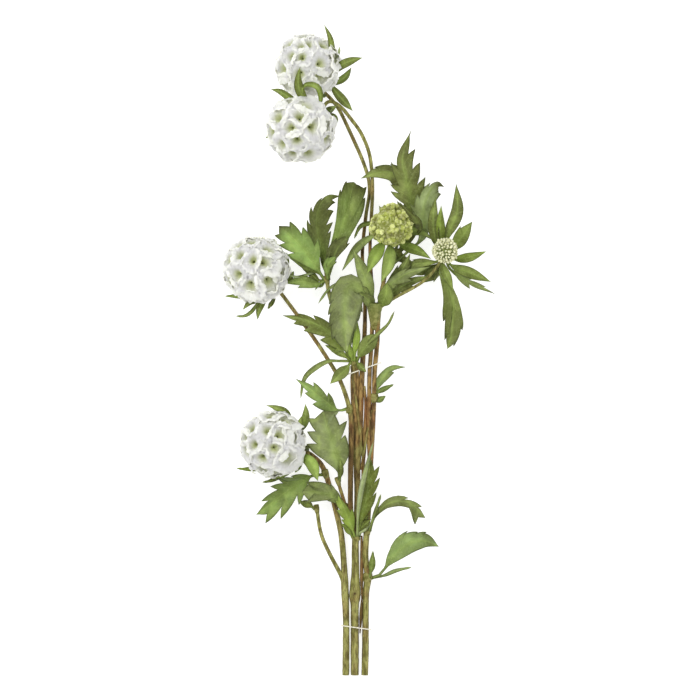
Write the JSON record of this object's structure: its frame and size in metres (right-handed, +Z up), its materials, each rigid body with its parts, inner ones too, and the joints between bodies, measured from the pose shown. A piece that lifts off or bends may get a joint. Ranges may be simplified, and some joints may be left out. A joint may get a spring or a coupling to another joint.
{
  "type": "scabiosa flower bunch",
  "caption": "Small tied bunch of cut scabiosa lying down: papery white seed heads, a green half-open head and a bud on branching stems with toothed leaves.",
  "frame": {"origin": "middle of the bunch on the surface that it lies on, under the centre of its bounding box", "axes": "+Y along the bunch from the cut ends to the top heads, +X to the right with the crowns facing up, +Z up from the surface"},
  "size_m": [0.2436, 0.5863, 0.0772],
  "materials": {
    "stem": "fresh green to brown stem with fine ridges and short hairs",
    "leaf_green": "matt fresh green leaf with paler veins",
    "leaf_olive": "matt olive leaf with paler veins",
    "leaf_light": "light green underside of a leaf, veined",
    "leaf_grey": "grey-green downy leaf",
    "bract": "narrow green bract, darker at its edges",
    "cup": "thin papery white cup, ribbed, olive-green in the throat",
    "floret": "yellow-green half-open floret",
    "bud": "cream and green closed bud scales",
    "thread": "cream cotton thread"
  },
  "bodies": {
    "root": {"stem_left": "stem", "stem_middle": "stem", "stem_right": "stem", "head_top": "cup", "head_upper": "cup", "head_left": "cup", "head_lower": "cup", "bracts_top": "bract", "bracts_upper": "bract", "bracts_left": "bract", "bracts_lower": "bract", "head_green": "floret", "bracts_green": "bract", "bud": "bud", "leaves_bud": "leaf_green", "leaves_upper_right": "leaf_olive", "leaves_left_cluster": "leaf_light", "leaves_middle": "leaf_green", "leaves_sheath": "leaf_grey", "leaves_lower_left": "leaf_grey", "leaf_lower_large": "leaf_light", "leaf_folded": "leaf_grey", "leaf_thin_branch": "leaf_olive", "leaf_mid_left": "leaf_light", "leaf_mid_right": "leaf_light", "leaves_lower_middle": "leaf_green", "leaf_arching": "leaf_green", "leaves_right_lower": "leaf_light", "tie_lower": "thread", "tie_upper": "thread"}
  },
  "joints": []
}
